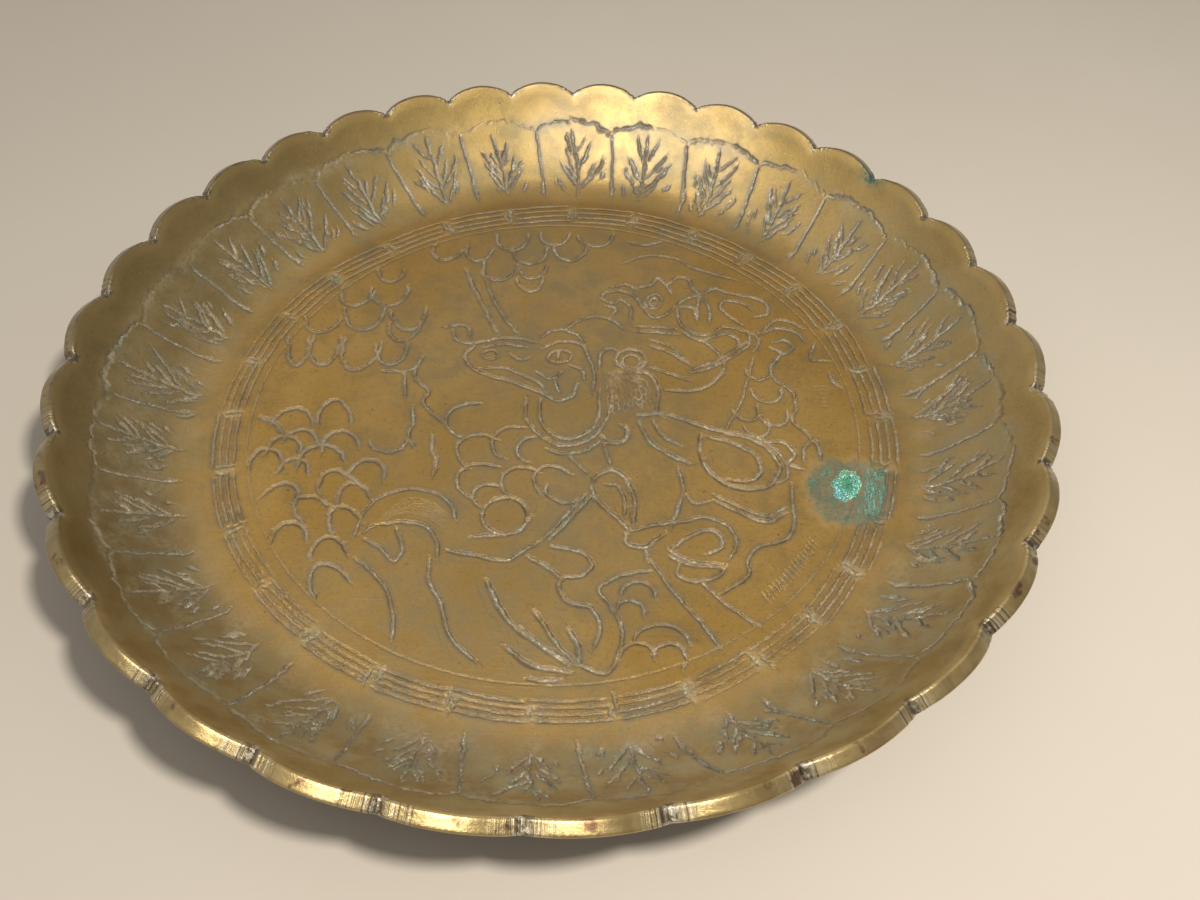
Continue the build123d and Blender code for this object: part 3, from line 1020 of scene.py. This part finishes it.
def aged_brass():
    """Brown-gold tarnished brass with grey dirt in and round the chasing, and a paler, rubbed rim. Painted
    shade, highlights and glints stand in for light on the lines and the rim.
    """
    m = Surface("aged_brass")
    grime, stained = m.kept("dirt"), m.kept("stain")
    cut, thread, shade = chased_line(m)
    cloud = m.noise(26, 5)
    blotch = m.noise(95, 5, 0.65)
    grain = m.noise(900, 4, 0.7)
    speck = m.noise(2600, 3, 0.7)
    colour = brass_colour(m, cloud, blotch, grain, speck)

    film = m.times(m.kept("film"), m.ramp(blotch, 0.35, 0.65, 0.25, 0.60))
    colour = m.blend(film, colour, (0.290, 0.235, 0.135))
    halo = m.times(m.ramp(m.kept("near"), 1.7, 0.5), m.ramp(m.kept("strength"), 0.1, 0.7))
    halo = m.times(halo, m.ramp(blotch, 0.3, 0.7, 0.40, 0.80))
    colour = m.blend(halo, colour, (0.168, 0.132, 0.084))
    rough_dirt = m.times(grime, m.ramp(grain, 0.34, 0.62, 0.30, 1.0))
    grey = m.blend(m.ramp(blotch, 0.42, 0.60), (0.245, 0.200, 0.142), (0.185, 0.200, 0.135))
    colour = m.blend(m.times(rough_dirt, 0.80), colour, grey)

    wall = m.kept("wall")
    fading = m.ramp(m.noise(150, 3), 0.38, 0.60, 0.15, 1.0)
    filled = m.times(m.times(cut, m.fade(wall, 0.62, 0.75)), m.fade(wall, fading, 1.0))
    salts = m.blend(m.ramp(blotch, 0.48, 0.66), (0.205, 0.168, 0.115), (0.150, 0.160, 0.108))
    salts = m.blend(m.ramp(speck, 0.54, 0.70, 0, 0.60), salts, (0.40, 0.37, 0.30))
    colour = m.blend(filled, colour, salts)
    # painted shade along one side of each line
    painted_side_shade = m.times(shade, m.ramp(m.noise(260, 3), 0.42, 0.60, 0.15, 0.80))
    colour = m.blend(painted_side_shade, colour, (0.090, 0.068, 0.038))
    # pale thread along each line on the floor: polish residue in the groove, and also a painted highlight
    thread_residue_and_highlight = m.blend(m.ramp(blotch, 0.42, 0.60), (0.41, 0.335, 0.220), (0.285, 0.285, 0.200))
    bright = m.ramp(m.noise(230, 3, 0.6), 0.50, 0.60)
    # on the wall the thread is dark in patches and pale in others; the pale is painted glint
    on_wall = m.blend(bright, (0.052, 0.046, 0.030), (0.470, 0.480, 0.400))
    gold = m.ramp(m.noise(38, 2), 0.56, 0.62, 0, 0.75)
    on_wall = m.blend(gold, on_wall, (0.520, 0.380, 0.180))
    thread_residue_and_highlight = m.blend(wall, thread_residue_and_highlight, on_wall)
    # painted glints: sparse near-white specks in the lines
    painted_glint = m.times(m.ramp(m.noise(1300, 3, 0.7), 0.55, 0.61), m.fade(wall, 0.6, bright))
    thread_residue_and_highlight = m.blend(painted_glint, thread_residue_and_highlight, (0.80, 0.82, 0.72))
    beads = m.times(m.ramp(m.noise(1500, 3, 0.7), 0.45, 0.56, 0.05, 1.0), m.fade(wall, fading, 0.9))
    # painted highlight: on the floor the threads are fainter towards the left
    right = m.ramp(m.axis("X"), -0.07, -0.01, 0.30, 1.0)
    beads = m.times(beads, m.fade(wall, right, 1.0))
    # where the pale thread shows: residue and painted highlight
    rubbed = m.times(thread, beads)
    colour = m.blend(m.times(rubbed, 0.85), colour, thread_residue_and_highlight)

    colour, file_line = rim_band(m, colour, blotch)
    colour = m.blend(m.times(m.kept("underside"), 0.8), colour, (0.22, 0.135, 0.048))

    olive = m.blend(m.ramp(blotch, 0.42, 0.58), (0.115, 0.096, 0.060), (0.062, 0.080, 0.056))
    colour = m.blend(m.times(stained, m.ramp(grain, 0.3, 0.7, 0.80, 1.0)), colour, olive)
    green = m.blend(m.ramp(grain, 0.42, 0.66), (0.022, 0.085, 0.056), (0.070, 0.270, 0.195))
    green = m.blend(m.times(m.kept("green_cane"), m.ramp(speck, 0.46, 0.60, 0, 0.85)), green,
                    (0.230, 0.360, 0.320))
    scattered = m.times(m.ramp(stained, 0.55, 1.0), m.ramp(m.noise(300, 5, 0.75), 0.54, 0.64))
    scattered = m.times(scattered, m.calc("SUBTRACT", 1.0, m.kept("green_cane")))
    streak = m.noise(1.0, 3, 0.65, m.stretched(1500, 260, 600))
    in_lines = m.times(m.kept("green_cane"), m.ramp(streak, 0.44, 0.56, 0.15, 1.0))
    colour = m.blend(m.calc("MAXIMUM", m.times(scattered, 0.85), in_lines), colour, green)

    matt = m.calc("MAXIMUM", m.times(filled, 0.85), m.times(stained, 0.85))
    matt = m.calc("MAXIMUM", matt, m.times(rough_dirt, 0.60))
    matt = m.calc("MAXIMUM", matt, m.times(film, wall))
    metallic = m.fade(matt, m.fade(halo, 1.0, 0.85), 0.25)
    roughness = m.ramp(blotch, 0.3, 0.7, 0.36, 0.50)
    roughness = m.fade(matt, m.fade(halo, roughness, 0.55), 0.66)
    roughness = m.fade(m.kept("band"), roughness, 0.30)
    scratch = m.noise(1.0, 2, 0.5, m.stretched(90, 1800, 90))
    crossing = m.noise(1.0, 2, 0.5, m.stretched(1500, 140, 140))
    normal = m.bump(m.calc("ADD", grain, m.times(speck, 0.5)), 0.00009, 0.6)
    scratches = m.calc("ADD", m.ramp(scratch, 0.60, 0.72), m.ramp(crossing, 0.62, 0.74))
    normal = m.bump(scratches, 0.00003, 0.4, normal)
    normal = m.bump(m.times(file_line, m.kept("filed")), 0.00030, 0.8, normal)
    tapped = m.times(cut, m.ramp(speck, 0.3, 0.7, 0.5, 1.0))
    normal = m.bump(m.times(tapped, -1.0), 0.00022, 0.9, normal)
    coat = {"Coat Weight": m.fade(wall, 0.18, 0.52), "Coat Roughness": 0.30, "Coat IOR": 1.6}
    for name, value in coat.items():  # a thin film of oxide and wax, which makes highlights paler
        m.feed(m.shader.inputs[name], value)
    return m.finish(colour, metallic, roughness, normal)


def turned_brass():
    """Lathe-turned brass of the foot, rubbed bright where it stands."""
    m = Surface("foot_brass")
    worn = m.ramp(m.axis("Z"), 0.0002, 0.0011, 1.0, 0.0)
    cloud = m.noise(120, 4)
    rings = m.noise(1.0, 3, 0.6, m.stretched(60, 60, 5000))
    colour = m.blend(m.ramp(cloud, 0.35, 0.65), (0.26, 0.16, 0.055), (0.38, 0.25, 0.095))
    colour = m.blend(worn, colour, (0.62, 0.44, 0.19))
    roughness = m.fade(worn, 0.46, 0.30)
    return m.finish(colour, 1.0, roughness, m.bump(rings, 0.00004, 0.6))


def dull_solder():
    """Grey soft solder, oxidised in patches."""
    m = Surface("solder")
    cloud = m.noise(240, 4)
    fine = m.noise(1500, 4)
    colour = m.blend(m.ramp(cloud, 0.40, 0.62), (0.25, 0.24, 0.21), (0.40, 0.39, 0.36))
    colour = m.blend(m.ramp(fine, 0.60, 0.72, 0, 0.6), colour, (0.13, 0.11, 0.07))
    return m.finish(colour, 0.85, m.ramp(cloud, 0.3, 0.7, 0.48, 0.66), m.bump(fine, 0.0001, 0.6))


def verdigris():
    """Granular copper salts: emerald inside a turquoise ring, yellower far away, bluer at the near left, with
    painted highlights on grains.
    """
    m = Surface("verdigris")
    ring = m.kept("ring")
    grain = m.noise(1500, 4, 0.7)
    fine = m.noise(3800, 3, 0.7)
    colour = m.blend(m.ramp(grain, 0.42, 0.60), (0.020, 0.125, 0.075), (0.055, 0.260, 0.145))
    turquoise = m.blend(m.ramp(grain, 0.40, 0.58), (0.022, 0.130, 0.095), (0.070, 0.310, 0.225))
    colour = m.blend(m.ramp(ring, 0.25, 0.60), colour, turquoise)
    far = m.ramp(m.axis("Y"), (stain_y + 1.0) * MM, (stain_y + 5.0) * MM, 0, 0.65)
    far = m.times(far, m.ramp(grain, 0.40, 0.60, 0.3, 1.0))
    colour = m.blend(far, colour, (0.200, 0.310, 0.120))
    left = m.ramp(m.axis("X"), (stain_x + 0.5) * MM, (stain_x - 3.0) * MM)
    near = m.ramp(m.axis("Y"), (stain_y + 1.0) * MM, (stain_y - 3.0) * MM)
    blue = m.times(m.times(left, near), m.ramp(fine, 0.46, 0.58, 0.1, 0.9))
    colour = m.blend(blue, colour, (0.080, 0.270, 0.360))
    # painted highlights: near-white grains on the raised ring
    pale = m.times(m.ramp(m.noise(2600, 3, 0.7), 0.54, 0.60), m.ramp(ring, 0.25, 0.6, 0.2, 0.95))
    colour = m.blend(pale, colour, (0.560, 0.740, 0.690))
    colour = m.blend(m.ramp(fine, 0.49, 0.41), colour, (0.014, 0.042, 0.030))
    rusty = m.times(m.ramp(m.noise(900, 2), 0.62, 0.68), m.ramp(ring, 0.55, 0.8))
    colour = m.blend(rusty, colour, (0.150, 0.060, 0.035))
    return m.finish(colour, 0.0, 0.9, m.bump(fine, 0.0003, 0.8))


def dress(made, material):
    made.data.materials.clear()
    made.data.materials.append(material)


# ---------------------------------------------------------------- pieces
def lathe(name, section, count=288):
    """Closed ring swept about +Z. section(angle) gives its outline as (radius, height), anticlockwise."""
    outlines = [section(TURN * k / count) for k in range(count)]
    size = len(outlines[0])
    points = [(r * math.cos(TURN * k / count), r * math.sin(TURN * k / count), z)
              for k, outline in enumerate(outlines) for r, z in outline]
    faces = []
    for k in range(count):
        here, there = k * size, (k + 1) % count * size
        for p in range(size):
            q = (p + 1) % size
            faces += [(here + p, here + q, there + q), (here + p, there + q, there + p)]
    return write_mesh(name, np.array(points), np.array(faces))


def foot_outline(angle):
    """Section of the foot, with worn round edges below and a fine turned groove on its outer wall."""
    half, edge = foot_width / 2, 0.5
    lift = 0.3 * abs(0.04 * math.sin(3 * angle + 1) + 0.03 * math.sin(11 * angle))
    corners = []
    for side, first, last in ((1, 270, 360), (-1, 180, 270)):
        corners.append([(foot_middle + side * (half - edge) + edge * math.cos(math.radians(turn)),
                         edge + lift + edge * math.sin(math.radians(turn)))
                        for turn in np.linspace(first, last, 6)])
    groove = ((1.1, 0), (1.3, 0.10), (1.5, 0.13), (1.7, 0.10), (1.9, 0))
    outer = [(foot_middle + half - dip, height) for height, dip in groove]
    top = [(foot_middle + half, foot_top), (foot_middle - half, foot_top)]
    return corners[0] + outer + top + corners[1]


def solder_outline(side):
    """Section of one fillet: straight against the floor and the foot, hollow on its free face."""
    wall = foot_middle + side * foot_width / 2
    leg = foot_top - solder_bottom
    seat = (wall - side * 0.05, foot_top + 0.02)  # sunk a little into the foot and the floor
    turns = np.linspace(0, math.pi / 2, 7)

    def outline(angle):
        lump = 1 + 0.10 * noise(np.array([angle * 70.0]), np.array([side * 5.0]), 6.0, 51)[0]
        reach = leg * min(lump, 1.0)
        hollow = [(wall + side * reach * (1 - math.sin(turn)), foot_top - reach * (1 - math.cos(turn)))
                  for turn in turns]
        points = [seat] + hollow
        return points if side < 0 else points[::-1]

    return outline


def verdigris_crust():
    """Granular crust of copper salts on the floor: a raised ragged ring round a lower middle."""
    rings, spokes = 34, 112
    stretch = 1.55  # longer round the dish than towards its middle
    points, faces = [(0.0, 0.0)], []
    for ring in range(1, rings + 1):
        for spoke in range(spokes):
            angle = TURN * spoke / spokes
            ragged = noise(np.array([9 * math.cos(angle)]), np.array([9 * math.sin(angle)]), 1.9, 64)[0]
            wide = 3.9 + 0.2 * math.sin(2 * angle + 0.8) + 0.5 * ragged
            reach = wide * ring / rings
            points.append((reach * math.cos(angle), stretch * reach * math.sin(angle)))
    x, y = turned(np.array(points), -15).T
    share = np.concatenate([[0.0], np.repeat(np.arange(1, rings + 1) / rings, spokes)])
    lumps = 0.50 + 0.30 * noise(x, y, 1.3, 61) + 0.34 * noise(x, y, 0.62, 62) + 0.22 * noise(x, y, 0.34, 63)
    heap = (0.45 + 0.55 * smooth_step(share, 0.2, 0.55)) * (1 - share**3)
    sunk = floor_top - 0.55
    height = floor_top - 0.16 + np.maximum(lumps, 0.05) * heap - 0.32 * share**6
    top = np.stack([x + stain_x, y + stain_y, height], 1)
    bottom = np.stack([x + stain_x, y + stain_y, np.full_like(x, sunk)], 1)
    for ring in range(rings):
        for spoke in range(spokes):
            outer, outer_after = 1 + ring * spokes + spoke, 1 + ring * spokes + (spoke + 1) % spokes
            if ring == 0:
                faces.append((0, outer, outer_after))
            else:
                inner, inner_after = outer - spokes, outer_after - spokes
                faces += [(inner, outer, outer_after), (inner, outer_after, inner_after)]
    shift = len(points)
    edge = 1 + (rings - 1) * spokes
    lower = [(a + shift, c + shift, b + shift) for a, b, c in faces]
    wall = []
    for spoke in range(spokes):
        a, b = edge + spoke, edge + (spoke + 1) % spokes
        wall += [(a, a + shift, b + shift), (a, b + shift, b)]
    made = write_mesh("verdigris_crust", np.vstack([top, bottom]), np.array(faces + lower + wall))
    store(made, "ring", np.tile(share, 2))
    return made


dish = build_dish()
foot = lathe("turned_foot", foot_outline)
outer_solder = lathe("outer_solder", solder_outline(1))
inner_solder = lathe("inner_solder", solder_outline(-1))
crust = verdigris_crust()

dress(dish, aged_brass())
dress(foot, turned_brass())
solder_material = dull_solder()
dress(outer_solder, solder_material)
dress(inner_solder, solder_material)
dress(crust, verdigris())

for piece, node, slot in ((dish, "dish_body", "aged_brass"), (foot, "foot_ring", "foot_brass"),
                          (outer_solder, "foot_solder", "solder"), (inner_solder, "foot_solder", "solder")):
    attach(piece, "root")
    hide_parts(node)
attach(crust, "root")


# ---------------------------------------------------------------- studio
camera_elevation = math.radians(49.38)
camera_roll = math.radians(1.75)
camera_place = (0.0995, -1.6997, 1.8723)
warm_white = (1.0, 0.95, 0.86)
lamps = (  # name, place in rim radii, size in metres, power
    ("window", (-1.1, -2.4, 4.2), 0.40, 3.7),
    ("lamp", (1.5, -1.7, 4.2), 0.07, 5.6),
)


def studio_place(right, back, up):
    """Point in metres from one in rim radii, measured from the middle of the floor."""
    return Vector((right, back, up)) * rim_radius * MM + Vector((0, 0, floor_top * MM))


def studio_floor():
    """Pale floor under the dish."""
    bpy.ops.mesh.primitive_plane_add(size=6.0, location=(0, 0, cad_box[0][2]))
    made = bpy.context.object
    made.name = "studio_floor"
    m = Surface("studio_floor")
    tone = m.blend(m.noise(9, 3), (0.315, 0.285, 0.245), (0.345, 0.315, 0.275))
    dress(made, m.finish(tone, 0.0, 0.75, m.bump(m.noise(400, 3), 0.0002, 0.2)))


def studio_world():
    """Soft warm light from all round, brighter from above and a little from the back left."""
    world = bpy.data.worlds.new("studio")
    bpy.context.scene.world = world
    world.use_nodes = True
    nodes, links = world.node_tree.nodes, world.node_tree.links
    background = nodes["Background"]
    background.inputs["Color"].default_value = (1.0, 0.94, 0.85, 1)
    direction = nodes.new("ShaderNodeTexCoord")
    brightest = nodes.new("ShaderNodeVectorMath")
    brightest.operation = "DOT_PRODUCT"
    brightest.inputs[1].default_value = (-0.25, 0.15, 0.95)
    strength = nodes.new("ShaderNodeMapRange")
    for name, value in (("From Min", -0.1), ("From Max", 0.75), ("To Min", 0.42), ("To Max", 0.70)):
        strength.inputs[name].default_value = value
    links.new(direction.outputs["Generated"], brightest.inputs[0])
    links.new(brightest.outputs["Value"], strength.inputs["Value"])
    links.new(strength.outputs["Result"], background.inputs["Strength"])


def studio_light():
    """A wide window in front, a little to the left, and a smaller lamp in front at the right."""
    for name, place, size, power in lamps:
        lamp = bpy.data.lights.new(name, "AREA")
        lamp.shape = "DISK"
        lamp.size = size
        lamp.energy = power
        lamp.color = warm_white
        holder = bpy.data.objects.new(name, lamp)
        holder.location = studio_place(*place)
        holder.rotation_euler = (studio_place(0, 0, 0) - holder.location).to_track_quat("-Z", "Y").to_euler()
        holder.visible_glossy = name == "window"  # it only shines in the brass
        holder.visible_diffuse = name == "lamp"  # it only lights the surfaces and casts the shadow
        bpy.context.scene.collection.objects.link(holder)


def studio_camera():
    """Looks down at 49 degrees from 2.5 rim radii away, slightly rolled."""
    camera = bpy.data.cameras.new("camera")
    camera.lens = 34.5
    camera.sensor_width = 36.0
    camera.clip_start = 0.01
    holder = bpy.data.objects.new("camera", camera)
    level = Vector((1, 0, 0))
    forward = Vector((0, math.cos(camera_elevation), -math.sin(camera_elevation)))
    top = level.cross(forward)
    image_right = math.cos(camera_roll) * level + math.sin(camera_roll) * top
    image_up = -math.sin(camera_roll) * level + math.cos(camera_roll) * top
    matrix = Matrix((image_right, image_up, -forward)).transposed().to_4x4()
    matrix.translation = studio_place(*camera_place)
    holder.matrix_world = matrix
    bpy.context.scene.collection.objects.link(holder)
    bpy.context.scene.camera = holder


studio_floor()
studio_world()
studio_light()
studio_camera()
bpy.context.scene.view_settings.view_transform = "Standard"
